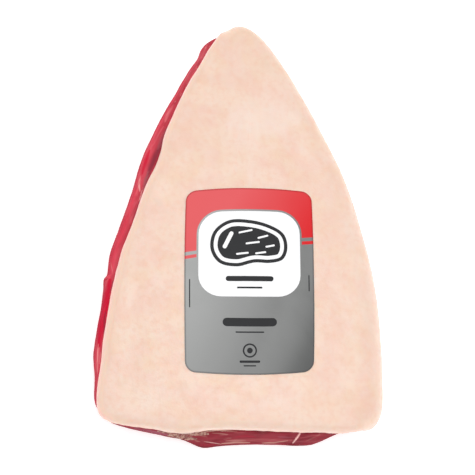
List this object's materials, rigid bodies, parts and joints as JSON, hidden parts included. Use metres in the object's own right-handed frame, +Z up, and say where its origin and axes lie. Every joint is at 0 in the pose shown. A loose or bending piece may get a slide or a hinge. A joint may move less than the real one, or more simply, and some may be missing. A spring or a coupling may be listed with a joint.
{
  "type": "raw picanha beef cut with its fat cap",
  "caption": "Whole raw rump cap of beef: a wedge of lean meat that thins to a tip, under a smooth cap of fat, with a rounded self-adhesive label on the fat.",
  "frame": {"origin": "centre of the whole piece's box in plan, on the flat underside that it lies on", "axes": "+Y from the thick cut end to the thin tip, +Z up through the fat, +X to the side that the fat wraps round"},
  "size_m": [0.185, 0.2864, 0.049],
  "materials": {
    "lean_meat": "gloss",
    "fat_cap": "satin",
    "label": "satin"
  },
  "bodies": {
    "root": {"lean_meat": "lean_meat", "fat_cap": "fat_cap", "label": "label"}
  },
  "joints": []
}
